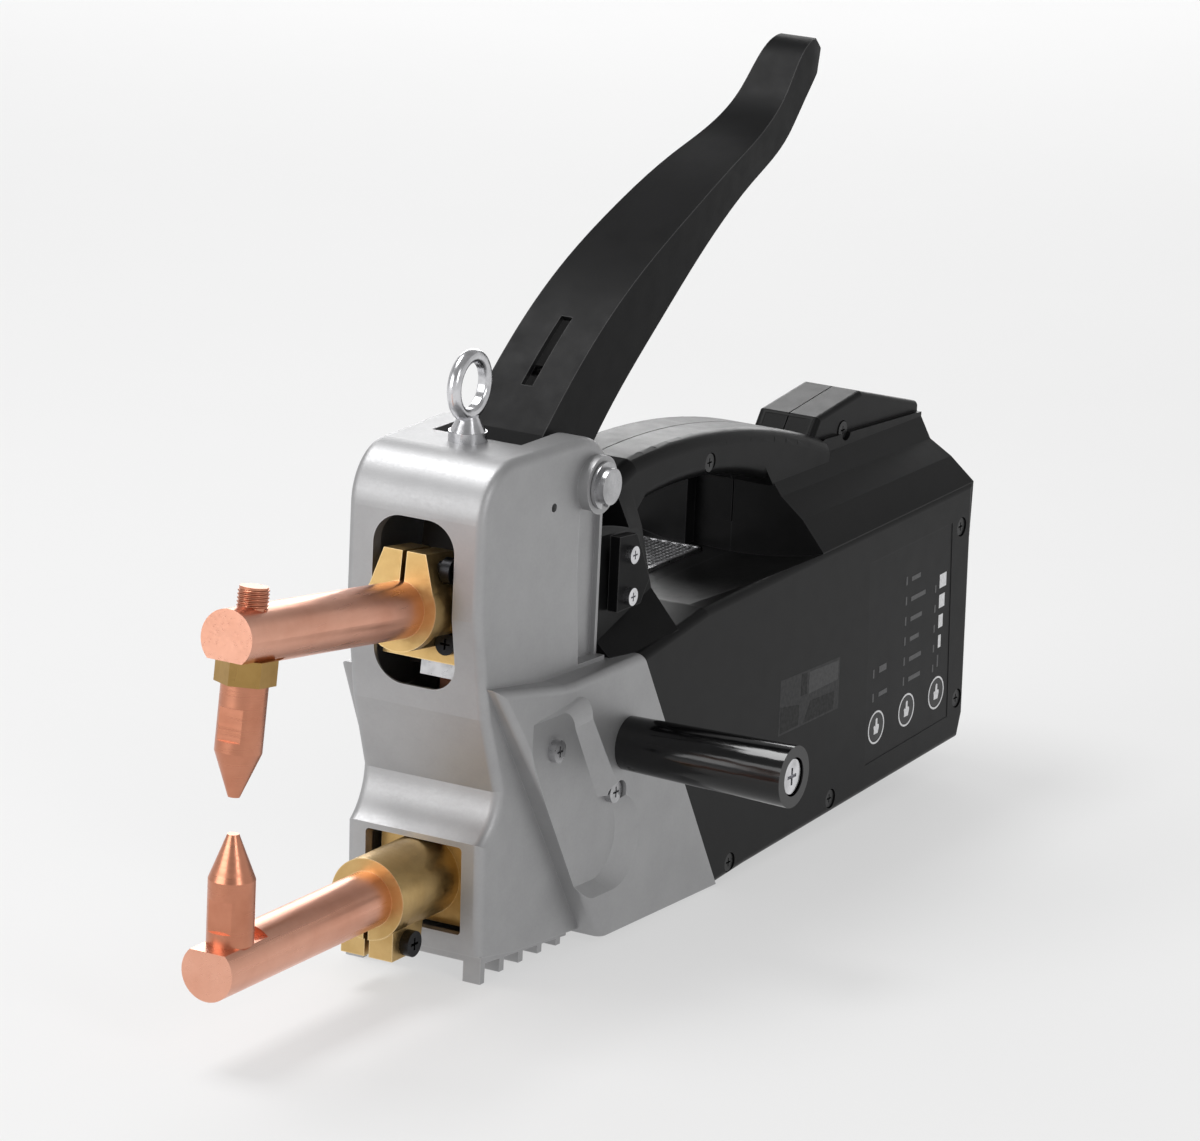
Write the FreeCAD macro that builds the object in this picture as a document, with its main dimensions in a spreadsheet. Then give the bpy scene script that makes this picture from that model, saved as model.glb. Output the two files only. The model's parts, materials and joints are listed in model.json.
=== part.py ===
import FreeCAD, Part
import math
import os
import re

# Hand-held pincer spot welder. X is the width (grip on +X), Y the length (jaws at -Y), Z is up, all in mm.
# The model's origin is the weld point, at the middle of the lower electrode's tip face.
# Stations and heights in this file are measured from the front end of the lower arm, on its axis.

V = FreeCAD.Vector
doc = FreeCAD.newDocument("SpotWelder")
sheet = doc.addObject("Spreadsheet::Sheet", "Sizes")

DIMENSIONS = [
    # copper work
    ("arm_radius", 10.0), ("arm_length", 149.5), ("arm_flat", 7.2), ("arm_flat_length", 26.0),
    ("electrode_radius", 8.0), ("tip_radius", 2.0), ("cone_height", 15.3), ("shank_radius", 5.0),
    ("weld_setback", 13.5), ("weld_height", 44.9), ("flat_half", 6.6), ("wrench_height", 11.3),
    ("upper_tip_drop", 54.2), ("upper_overhang", 13.9), ("nut_across", 18.0), ("nut_height", 8.6),
    ("stud_radius", 4.9), ("stud_rise", 16.4),
    # jaw motion
    ("jaw_tilt", 6.9), ("jaw_pivot_station", 205.0), ("jaw_pivot_height", 58.0), ("jaw_pin_radius", 6.0),
    ("lever_pivot_station", 189.0), ("lever_pivot_height", 135.0), ("lever_pin_radius", 6.5),
    ("cam_base_radius", 8.6), ("cam_reach", 15.1), ("cam_half", 6.0),
    # clamps
    ("clamp_radius", 14.6), ("clamp_slit", 1.8), ("clamp_ear_half", 8.4), ("clamp_screw_radius", 2.9),
    # lever
    ("lever_half", 16.0), ("lever_wall", 2.5),
    # casting
    ("head_half", 29.0), ("head_top", 152.0), ("wide_half", 40.0), ("cast_wall", 4.0),
    ("window_half", 16.3), ("window_bottom", 70.0), ("window_top", 131.0), ("window_corner", 11.0),
    ("mouth_half", 19.6), ("mouth_bottom", -17.2), ("mouth_top", 14.9),
    ("boss_radius", 10.4), ("boss_height", 3.5), ("pocket_floor", 35.8),
    # plastic housing
    ("shell_half", 40.0), ("shell_wall", 3.0), ("arch_half", 17.0), ("hump_half", 13.0),
    # small parts
    ("grip_length", 66.5), ("grip_base_radius", 9.75), ("grip_end_radius", 11.15), ("grip_bore_radius", 4.1),
    ("ring_radius", 10.3), ("ring_wire", 2.5), ("ring_height", 22.0),
    ("key_radius", 5.6), ("gland_bore", 4.2), ("fan_half", 20.0),
]
for row, (alias, value) in enumerate(DIMENSIONS, start=1):
    sheet.set("A%d" % row, alias)
    sheet.set("B%d" % row, str(value))
    sheet.setAlias("B%d" % row, alias)
doc.recompute()
size = dict(DIMENSIONS)

TO_WELD_POINT = FreeCAD.Placement(V(0, -size["weld_setback"], -size["weld_height"]), FreeCAD.Rotation())
X_AXIS, Y_AXIS, Z_AXIS = V(1, 0, 0), V(0, 1, 0), V(0, 0, 1)
PARTS = []


def bind(obj, prop, formula):
    """Drives one property from the sheet; the formula uses the sheet's aliases."""
    expression = re.sub(r"[a-z]+(?:_[a-z]+)+", lambda word: "Sizes." + word.group(0), str(formula))
    obj.setExpression(prop, expression)


def node(obj, label, frame=TO_WELD_POINT):
    """Names a finished piece after its file and puts it in the model's frame."""
    if obj.TypeId == "Part::Box":
        obj = group(label + "_piece", [obj])
    obj.Label = label
    obj.Placement = frame.multiply(obj.Placement)
    PARTS.append(obj)
    return obj


def cylinder(name, radius, length, base, axis=Z_AXIS):
    obj = doc.addObject("Part::Cylinder", name)
    bind(obj, "Radius", radius)
    bind(obj, "Height", length)
    obj.Placement = FreeCAD.Placement(V(*base), FreeCAD.Rotation(Z_AXIS, axis))
    return obj


def cone(name, radius_low, radius_high, length, base, axis=Z_AXIS):
    obj = doc.addObject("Part::Cone", name)
    bind(obj, "Radius1", radius_low)
    bind(obj, "Radius2", radius_high)
    bind(obj, "Height", length)
    obj.Placement = FreeCAD.Placement(V(*base), FreeCAD.Rotation(Z_AXIS, axis))
    return obj


def block(name, x, y, z):
    """A box between pairs of limits; the first and last of each pair may be formulas of the sheet."""
    obj = doc.addObject("Part::Box", name)
    for prop, place, (low, high) in (("Length", "x", x), ("Width", "y", y), ("Height", "z", z)):
        bind(obj, prop, "(%s) - (%s)" % (high, low))
        bind(obj, "Placement.Base." + place, low)
    return obj


def fuse(name, *pieces):
    obj = doc.addObject("Part::MultiFuse", name)
    obj.Shapes = list(pieces)
    return obj


def cut(name, base, *tools):
    obj = doc.addObject("Part::Cut", name)
    obj.Base = base
    obj.Tool = tools[0] if len(tools) == 1 else fuse(name + "_tools", *tools)
    return obj


def group(name, pieces):
    obj = doc.addObject("Part::Compound", name)
    obj.Links = list(pieces)
    return obj


def hexagon(name, across, height, base, axis=Z_AXIS, turn=0.0):
    obj = doc.addObject("Part::Prism", name)
    obj.Polygon = 6
    bind(obj, "Circumradius", "(%s) / 1.7320508" % across)
    bind(obj, "Height", height)
    turned = FreeCAD.Rotation(Z_AXIS, axis).multiply(FreeCAD.Rotation(Z_AXIS, turn))
    obj.Placement = FreeCAD.Placement(V(*base), turned)
    return obj


def origin_plane(body, role):
    return [plane for plane in body.Origin.OriginFeatures if plane.Role == role][0]


def sketch_on(body, name, role, outline):
    """A closed sketch of straight lines through the outline's points, pinned point by point."""
    sketch = body.newObject("Sketcher::SketchObject", name)
    sketch.AttachmentSupport = [(origin_plane(body, role), "")]
    sketch.MapMode = "FlatFace"
    corners = [V(a, b, 0) for a, b in outline]
    for start, end in zip(corners, corners[1:] + corners[:1]):
        sketch.addGeometry(Part.LineSegment(start, end), False)
    return sketch


def plate(name, outline, half_width):
    """A plate cut to a side outline of (station, height) points, as wide each side of the middle plane."""
    import Sketcher
    body = doc.addObject("PartDesign::Body", name)
    sketch = sketch_on(body, name + "_outline", "YZ_Plane", outline)
    count = len(outline)
    for line in range(count):
        sketch.addConstraint(Sketcher.Constraint("Coincident", line, 2, (line + 1) % count, 1))
    pad = body.newObject("PartDesign::Pad", name + "_pad")
    pad.Profile = sketch
    pad.Midplane = True
    bind(pad, "Length", "2 * (%s)" % half_width)
    sketch.Visibility = False
    body.Tip = pad
    return body


def side_face(points):
    """A face in the YZ plane: plain points are corners, and a middle point in brackets bends an arc."""
    edges = []
    first = points[0]
    here = first
    index = 1
    while index <= len(points):
        target = points[index % len(points)]
        if isinstance(target, list):
            end = points[(index + 1) % len(points)]
            arc = Part.Arc(V(0, *here), V(0, *target[0]), V(0, *end))
            edges.append(arc.toShape())
            here = end
            index += 2
        else:
            edges.append(Part.LineSegment(V(0, *here), V(0, *target)).toShape())
            here = target
            index += 1
    return Part.Face(Part.Wire(edges))


def slab(points, low, high):
    """The side face drawn out between two places across the width."""
    solid = side_face(points).extrude(V(high - low, 0, 0))
    solid.translate(V(low, 0, 0))
    return solid


def feature(name, shape):
    obj = doc.addObject("Part::Feature", name)
    obj.Shape = shape
    return obj


def screw(name, base, axis, head_radius, head_height, shank_radius, shank_length):
    """A cross-recessed screw: the base is the middle of its head's seat, the axis points out of the head."""
    out = V(axis)
    seat = V(*base)
    head = cylinder(name + "_head", head_radius, head_height, seat, out)
    shank = cylinder(name + "_shank", shank_radius, shank_length, seat - out * shank_length, out)
    solid = fuse(name + "_solid", head, shank)
    slots = []
    for turn in (0.0, 90.0):
        slot = doc.addObject("Part::Box", name + "_slot")
        slot.Length = head_radius
        slot.Width = head_radius / 5
        slot.Height = head_height
        corner = V(-head_radius / 2, -head_radius / 10, head_height * 0.5)
        middle = FreeCAD.Placement(corner, FreeCAD.Rotation())
        spin = FreeCAD.Placement(V(0, 0, 0), FreeCAD.Rotation(Z_AXIS, turn))
        seat_frame = FreeCAD.Placement(seat, FreeCAD.Rotation(Z_AXIS, out))
        slot.Placement = seat_frame.multiply(spin).multiply(middle)
        slots.append(slot)
    return cut(name, solid, *slots)


# ---------------------------------------------------------------------------------------------- lower jaw
def lower_jaw():
    rod = cylinder("lower_rod", "arm_radius", "arm_length", (0, 0, 0), Y_AXIS)
    seat = block("lower_seat", (-12, 12), (-1, "arm_flat_length"), ("arm_flat", 12))
    socket = cylinder("lower_socket", "shank_radius", 12, (0, size["weld_setback"], -4))
    node(cut("lower_arm_cut", rod, seat, socket), "lower_arm")

    shoulder = size["weld_height"] - size["cone_height"]
    body = cylinder("tip_body", "electrode_radius", "weld_height - cone_height - arm_flat",
                    (0, size["weld_setback"], size["arm_flat"]))
    point = cone("tip_point", "electrode_radius", "tip_radius", "cone_height",
                 (0, size["weld_setback"], shoulder))
    shank = cylinder("tip_shank", "shank_radius", "arm_flat + 4", (0, size["weld_setback"], -4))
    whole = fuse("tip_whole", body, point, shank)
    flat_front = block("tip_flat_front", (-9, 9), ("weld_setback - 9", "weld_setback - flat_half"),
                       (12, "12 + wrench_height"))
    flat_back = block("tip_flat_back", (-9, 9), ("weld_setback + flat_half", "weld_setback + 9"),
                      (12, "12 + wrench_height"))
    node(cut("tip_cut", whole, flat_front, flat_back), "lower_electrode")

    # split brass clamp: collar, two ears below it and a square foot in the casting's mouth
    collar = cylinder("lower_collar", "clamp_radius", 40, (0, 99, 0), Y_AXIS)
    ears = plate("lower_ears", [(100, 0), (100, -21), (118, -21), (121, 0)], "clamp_ear_half + 2")
    foot = block("lower_foot", (-17.6, 17.6), (136, 150), (-16.4, 13.2))
    brass = fuse("lower_brass", collar, ears, foot)
    bore = cylinder("lower_bore", "arm_radius", 60, (0, 95, 0), Y_AXIS)
    slit = block("lower_slit", ("-clamp_slit / 2", "clamp_slit / 2"), (98, 129), (-24, 0))
    hole = cylinder("lower_hole", "clamp_screw_radius", 30, (-15, 109, -16), X_AXIS)
    node(cut("lower_clamp_cut", brass, bore, slit, hole), "lower_clamp")
    ear = size["clamp_ear_half"] + 2
    node(screw("lower_clamp_bolt", (ear, 109, -16), (1, 0, 0), 4.6, 3.4, 2.9, 2 * ear), "lower_clamp_screw")

    spacer = block("lower_spacer", (-21, 21), (150, 154), (-18, 15))
    passage = block("lower_passage", (-9.5, 9.5), (148, 156), (-5.5, 7.5))
    node(cut("lower_spacer_cut", spacer, passage), "lower_insulator")


# ---------------------------------------------------------------------------------------------- upper jaw
# The upper jaw is drawn straight, with Y along its arm from the electrode's axis and Z square to the arm,
# then tilted to its open place.
TILT = math.radians(size["jaw_tilt"])
JAW_SWING = math.radians(3.78)
PIVOT = V(0, size["jaw_pivot_station"], size["jaw_pivot_height"])


def upper_frame():
    """Places the straight drawing so that the open tip stands over the lower one, ready to swing onto it."""
    closed_tip = V(0, size["weld_setback"], size["weld_height"] + 0.16) - PIVOT
    swing = FreeCAD.Rotation(X_AXIS, -math.degrees(JAW_SWING))
    open_tip = PIVOT + swing.multVec(closed_tip)
    tilt = FreeCAD.Rotation(X_AXIS, -size["jaw_tilt"])
    root = open_tip + tilt.multVec(V(0, 0, size["upper_tip_drop"]))
    return FreeCAD.Placement(root, tilt)


UPPER = upper_frame()
UPPER_IN_MODEL = TO_WELD_POINT.multiply(UPPER)


def in_upper(station, height):
    """Turns a datum place into the upper jaw's own (along, above) places."""
    local = UPPER.inverse().multVec(V(0, station, height))
    return local.y, local.z


def upper_jaw():
    rear = size["arm_length"] - size["upper_overhang"]
    rod = cylinder("upper_rod", "arm_radius", "arm_length", (0, -size["upper_overhang"], 0), Y_AXIS)
    seat = block("upper_seat", (-12, 12), ("-upper_overhang - 1", 13), (-12, -7.4))
    hole = cylinder("upper_hole", "stud_radius + 0.1", 30, (0, 0, -12))
    node(cut("upper_arm_cut", rod, seat, hole), "upper_arm", UPPER_IN_MODEL)

    drop = size["upper_tip_drop"]
    neck = -7.4 - size["nut_height"]
    stud = cylinder("stud", "stud_radius", "stud_rise + 16", (0, 0, -16))
    body = cylinder("upper_body", "electrode_radius", drop - size["cone_height"] + neck,
                    (0, 0, size["cone_height"] - drop))
    point = cone("upper_point", "tip_radius", "electrode_radius", "cone_height", (0, 0, -drop))
    whole = fuse("upper_whole", stud, body, point)
    flats = [
        block("upper_flat_front", (-9, 9), (-9, "-flat_half"), (-35, "-35 + wrench_height")),
        block("upper_flat_back", (-9, 9), ("flat_half", 9), (-35, "-35 + wrench_height")),
    ]
    node(cut("upper_electrode_cut", whole, *flats), "upper_electrode", UPPER_IN_MODEL)
    nut = hexagon("nut_prism", "nut_across", "nut_height", (0, 0, neck), Z_AXIS, 90)
    thread = cylinder("nut_thread", "stud_radius", 20, (0, 0, -20))
    node(cut("nut_cut", nut, thread), "electrode_nut", UPPER_IN_MODEL)

    # split brass clamp: collar, two ears above it, and a flange behind that bolts to the rocker
    collar = cylinder("upper_collar", "clamp_radius", "131 - 94", (0, 94, 0), Y_AXIS)
    ear_half = size["clamp_ear_half"]
    ear_body = doc.addObject("PartDesign::Body", "upper_ears")
    outline = [(-ear_half, 20.5), (ear_half, 20.5), (14, 3), (-14, 3)]
    sketch = sketch_on(ear_body, "upper_ears_outline", "XZ_Plane", outline)
    pad = ear_body.newObject("PartDesign::Pad", "upper_ears_pad")
    pad.Profile = sketch
    pad.Length = 18
    pad.Reversed = True
    sketch.Visibility = False
    ear_body.Placement = FreeCAD.Placement(V(0, 94, 0), FreeCAD.Rotation())
    flange = block("upper_flange", (-15.4, 15.4), (112, 131), (-18.8, 9))
    brass = fuse("upper_brass", collar, ear_body, flange)
    bore = cylinder("upper_bore", "arm_radius", 60, (0, 90, 0), Y_AXIS)
    slit = block("upper_slit", ("-clamp_slit / 2", "clamp_slit / 2"), (93, 132), (0, 22))
    hole = cylinder("upper_clamp_hole", "clamp_screw_radius", 36, (-18, 103, 15), X_AXIS)
    bolt_holes = [cylinder("flange_hole", 2.5, 30, (x, 110, -11.5), Y_AXIS) for x in (-11, 11)]
    bolt_holes += [cylinder("head_space", 4.2, 14, (x, 98, -11.5), Y_AXIS) for x in (-11, 11)]
    node(cut("upper_clamp_cut", brass, bore, slit, hole, *bolt_holes), "upper_clamp", UPPER_IN_MODEL)
    node(screw("upper_clamp_bolt", (11.7, 103, 15), (1, 0, 0), 4.6, 3.6, 2.9, 19), "upper_clamp_screw",
         UPPER_IN_MODEL)
    lug = block("lug_bar", (-2, 15.4), (116, 131), (-24.6, -18.8))
    node(lug, "shunt_lug", UPPER_IN_MODEL)

    sheet_plate = block("spacer_plate", (-15.4, 15.4), (131, 134), (-24, 26))
    pass_holes = [cylinder("spacer_hole", 2.5, 10, (x, 128, -11.5), Y_AXIS) for x in (-11, 11)]
    clear = cylinder("spacer_clear", "arm_radius + 0.5", 10, (0, 128, 0), Y_AXIS)
    node(cut("spacer_cut", sheet_plate, clear, *pass_holes), "rocker_insulator", UPPER_IN_MODEL)
    bolts = [screw("flange_bolt", (x, 112, -11.5), (0, -1, 0), 3.9, 3.5, 2.5, 34) for x in (-11, 11)]
    node(group("flange_bolts", bolts), "clamp_bolts", UPPER_IN_MODEL)


def rocker():
    along, above = in_upper(size["jaw_pivot_station"], size["jaw_pivot_height"])
    outline = [(134, -22), (134, 43), (141, 43), (141, 20), (158, 8), (along + 12, above + 8),
               (along + 12, above - 12), (along - 12, above - 12), (152, -24)]
    web = plate("rocker_web", outline, 14)
    arm_space = cylinder("arm_space", "arm_radius + 0.5", 16, (0, 130, 0), Y_AXIS)
    pivot = cylinder("pivot_bore", "jaw_pin_radius + 1.5", 60, (-30, along, above), X_AXIS)
    thread = cylinder("thread_bore", 4, 20, (0, 130, 34.5), Y_AXIS)
    bolt_holes = [cylinder("web_hole", 2.5, 20, (x, 130, -11.5), Y_AXIS) for x in (-11, 11)]
    node(cut("rocker_cut", web, arm_space, pivot, thread, *bolt_holes), "rocker", UPPER_IN_MODEL)

    shells = []
    for low, high in ((-14, -1), (1, 14)):
        outer = cylinder("bush_outer", "jaw_pin_radius + 1.5", high - low, (low, along, above), X_AXIS)
        inner = cylinder("bush_inner", "jaw_pin_radius + 0.05", 40, (-20, along, above), X_AXIS)
        shells.append(cut("bush", outer, inner))
    node(group("rocker_bush_pair", shells), "rocker_bushes", UPPER_IN_MODEL)

    # the screw's crowned end bears on the cam; the locknut holds it against the horn
    disc = cylinder("crown_disc", 6.5, 3.6, (0, 145.6, 34.5), Y_AXIS)
    crown = cone("crown_end", 6.5, 2.2, 1.6, (0, 149.2, 34.5), Y_AXIS)
    shank = cylinder("adjust_shank", 4, 26, (0, 120, 34.5), Y_AXIS)
    node(fuse("adjust_solid", disc, crown, shank), "adjusting_screw", UPPER_IN_MODEL)
    prism = hexagon("locknut_prism", 13, 4.2, (0, 141, 34.5), Y_AXIS)
    bore = cylinder("locknut_bore", 4, 10, (0, 138, 34.5), Y_AXIS)
    node(cut("locknut_cut", prism, bore), "adjusting_locknut", UPPER_IN_MODEL)


# ---------------------------------------------------------------------------------------------- hand lever
LEVER_TOP = [(169, 141), (178.3, 151.6), (197.6, 168.6), (216.6, 183.0), (243.2, 198.8), (275.8, 213.5),
             (315.1, 228.1), (345.8, 239.1), (356.9, 246.3), (373.3, 261.4), (382.5, 264.2)]
LEVER_BOTTOM = [(389, 259.5), (386, 250.5), (373, 240), (362, 231), (328.5, 217.5), (294.5, 202),
                (257.6, 177.9), (234.5, 161), (215.7, 144.6), (205, 133), (200, 122), (186, 119), (176, 126)]
LEVER_WIDTH = [(160, 16.0), (245, 15.8), (276, 15.2), (315, 13.2), (346, 10.5), (357, 9.6), (373, 8.2),
               (384, 7.2), (392, 5.6)]


def lever_side(top, bottom):
    upper = Part.BSplineCurve()
    upper.interpolate([V(0, *point) for point in top[1:]])
    lower = Part.BSplineCurve()
    lower.interpolate([V(0, *point) for point in bottom[1:-3]])
    edges = [upper.toShape(), Part.LineSegment(V(0, *top[-1]), V(0, *bottom[0])).toShape(),
             Part.LineSegment(V(0, *bottom[0]), V(0, *bottom[1])).toShape(), lower.toShape()]
    rest = bottom[-4:] + top[:2]
    edges += [Part.LineSegment(V(0, *a), V(0, *b)).toShape() for a, b in zip(rest, rest[1:])]
    return Part.Face(Part.Wire(Part.__sortEdges__(edges)))


def lever_plan(inset):
    """The lever's outline from above, narrowing to the tip, less an inset each side."""
    right = [V(half - inset, station, 0) for station, half in LEVER_WIDTH]
    left = [V(-point.x, point.y, 0) for point in reversed(right)]
    side_right = Part.BSplineCurve()
    side_right.interpolate(right)
    side_left = Part.BSplineCurve()
    side_left.interpolate(left)
    ends = [Part.LineSegment(right[-1], left[0]).toShape(), Part.LineSegment(left[-1], right[0]).toShape()]
    wire = Part.Wire([side_right.toShape(), ends[0], side_left.toShape(), ends[1]])
    solid = Part.Face(wire).extrude(V(0, 0, 200))
    solid.translate(V(0, 0, 100))
    return solid


def hand_lever():
    outer = lever_side(LEVER_TOP, LEVER_BOTTOM).extrude(V(40, 0, 0))
    outer.translate(V(-20, 0, 0))
    outer = outer.common(lever_plan(0))
    wall = size["lever_wall"]
    hollow_profile = lever_side(LEVER_TOP, LEVER_BOTTOM).extrude(V(40, 0, 0))
    hollow_profile.translate(V(-20, wall * 0.62, -wall * 0.80))
    hollow = hollow_profile.common(lever_plan(wall))
    below = hollow.copy()
    below.translate(V(0, 14, -18))
    stop = slab([(386, 300), (420, 300), (420, 200), (340, 200), (352, 236)], -30, 30)
    channel = outer.cut(hollow.fuse(below).cut(stop))
    slot = Part.makeBox(4.6, 33, 14, V(-2.3, 0, -7))
    slot.rotate(V(0, 0, 0), X_AXIS, 40)
    slot.translate(V(0, 193, 164.5))
    station, height = size["lever_pivot_station"], size["lever_pivot_height"]
    hole = Part.makeCylinder(size["lever_pin_radius"] + 2, 60, V(-30, station, height), X_AXIS)
    pin_hole = Part.makeCylinder(2, 29.4, V(-14.7, 209, 166), X_AXIS)
    cam_gap = Part.makeBox(17, 21, 27, V(-8.5, 160, 110))
    channel = channel.cut(slot).cut(hole).cut(pin_hole).cut(cam_gap)
    channel = sorted(channel.Solids, key=lambda solid: solid.Volume)[-1]
    node(feature("hand_lever_shape", channel), "hand_lever")

    # hub bush and cam share the lever's pivot; the cam's flank is an involute, so the jaw follows in step
    base = size["cam_base_radius"]
    flank = []
    for step in range(17):
        turn = -0.5 + 1.4 * step / 16
        reach = size["cam_reach"] + base * turn
        along = -reach * math.cos(turn) + base * math.sin(turn)
        above = -reach * math.sin(turn) - base * math.cos(turn)
        flank.append(V(0, station + along, height + above))
    curve = Part.BSplineCurve()
    curve.interpolate(flank)
    back = [flank[-1], V(0, station + 9, height - 15), V(0, station + 9, height + 8), flank[0]]
    edges = [curve.toShape()] + [Part.LineSegment(a, b).toShape() for a, b in zip(back, back[1:])]
    lobe = Part.Face(Part.Wire(edges)).extrude(V(2 * size["cam_half"], 0, 0))
    lobe.translate(V(-size["cam_half"], 0, 0))
    hub = Part.makeCylinder(11.5, 2 * size["cam_half"], V(-size["cam_half"], station, height), X_AXIS)
    bore = Part.makeCylinder(size["lever_pin_radius"] + 2, 60, V(-30, station, height), X_AXIS)
    node(feature("cam_shape", lobe.fuse(hub).cut(bore).removeSplitter()), "lever_cam")

    outer_tube = cylinder("hub_outer", "lever_pin_radius + 2", "2 * lever_half", (-16, station, height),
                          X_AXIS)
    inner_tube = cylinder("hub_inner", "lever_pin_radius + 0.05", 60, (-30, station, height), X_AXIS)
    node(cut("hub_cut", outer_tube, inner_tube), "lever_bush")
    node(cylinder("cross_pin", 2, 29.4, (-14.7, 209, 166), X_AXIS), "lever_cross_pin")

    # torsion spring: a close coil round the bush beside the cam, one leg hooked on the cross pin
    coils = []
    for index in range(3):
        ring = doc.addObject("Part::Torus", "spring_ring")
        ring.Radius1 = 10.0
        ring.Radius2 = 0.9
        place = V(8.0 + 1.7 * index, station, height)
        ring.Placement = FreeCAD.Placement(place, FreeCAD.Rotation(Z_AXIS, X_AXIS))
        coils.append(ring)
    leg_start = V(11.4, station + 2, height + 9.6)
    leg = V(11.4, 209, 162.6) - leg_start
    up_leg = cylinder("spring_leg", 0.9, leg.Length, leg_start, leg)
    low_leg = cylinder("spring_foot", 0.9, 20, (8.0, station + 9.8, height), V(0, 0.01, -1))
    node(fuse("spring_solid", *coils, up_leg, low_leg), "return_spring")


# ---------------------------------------------------------------------------------------------- pins
def ring_clip(name, radius, place):
    outer = cylinder(name + "_outer", radius + 1.9, 1.2, place, X_AXIS)
    inner = cylinder(name + "_inner", radius, 4, (place[0] - 1, place[1], place[2]), X_AXIS)
    gap = block(name + "_gap", (place[0] - 1, place[0] + 3), (place[1] - 2, place[1] + 2),
                (place[2] - 12, place[2]))
    return cut(name, outer, inner, gap)


def pins():
    station, height = size["lever_pivot_station"], size["lever_pivot_height"]
    reach = size["head_half"] + 2 + size["boss_height"] + 4.0
    pin = cylinder("lever_axle", "lever_pin_radius", 2 * reach, (-reach, station, height), X_AXIS)
    groove = size["head_half"] + 2 + size["boss_height"] + 0.2
    node(pin, "lever_pivot_pin")
    clips = [ring_clip("clip_right", size["lever_pin_radius"], (groove, station, height)),
             ring_clip("clip_left", size["lever_pin_radius"], (-groove - 1.2, station, height))]
    node(group("lever_clips", clips), "pivot_circlips")
    jaw_station, jaw_height = size["jaw_pivot_station"], size["jaw_pivot_height"]
    node(cylinder("spring_rest", 2.4, 45.6, (-22.8, 202.4, 117.6), X_AXIS), "spring_post")
    node(cylinder("rocker_axle", "jaw_pin_radius", 64, (-38, jaw_station, jaw_height), X_AXIS), "rocker_pin")


# ---------------------------------------------------------------------------------------------- casting
def head_blank():
    """A plain block over the casting's head, used to trim its neighbours."""
    top, reach = size["head_top"], size["head_half"] + 2.3
    return slab([(121, -24), (121, top), (201.3, top), (201.3, -24)], -reach, reach)


def belly_blank():
    """A plain block over the casting's wide part, used to trim its neighbours."""
    return slab([(150, 69), (215, 69), (277.6, -32.2), (193, -30.5)], -60, 60)


def rounded_window(half, bottom, top, corner, front, depth):
    """A rounded upright window cut through the front wall."""
    box = Part.makeBox(2 * half, depth, top - bottom, V(-half, front, bottom))
    upright = [edge for edge in box.Edges if abs(edge.tangentAt(edge.FirstParameter).y) > 0.9]
    return box.makeFillet(corner, upright)


def edges_where(shape, test):
    """The edges whose middle passes the test."""
    return [edge for edge in shape.Edges if test(edge.CenterOfMass)]


def side_wedge(side, plan):
    """Material to take off one side, from its outline in plan."""
    corners = [V(side * x, y, -60) for x, y in plan]
    return Part.Face(Part.makePolygon(corners + corners[:1])).extrude(V(0, 0, 260))


def pocket_outline(x, points):
    """A closed outline in the plane at x, with an arc at the top corner and one at the rear."""
    start, top, top_bend, rear_top, rear, rear_bend, low, end = [V(x, y, z) for y, z in points]
    edges = [Part.LineSegment(start, top), Part.Arc(top, top_bend, rear_top),
             Part.LineSegment(rear_top, rear), Part.Arc(rear, rear_bend, low),
             Part.LineSegment(low, end), Part.LineSegment(end, start)]
    return Part.Wire([edge.toShape() for edge in edges])


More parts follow.
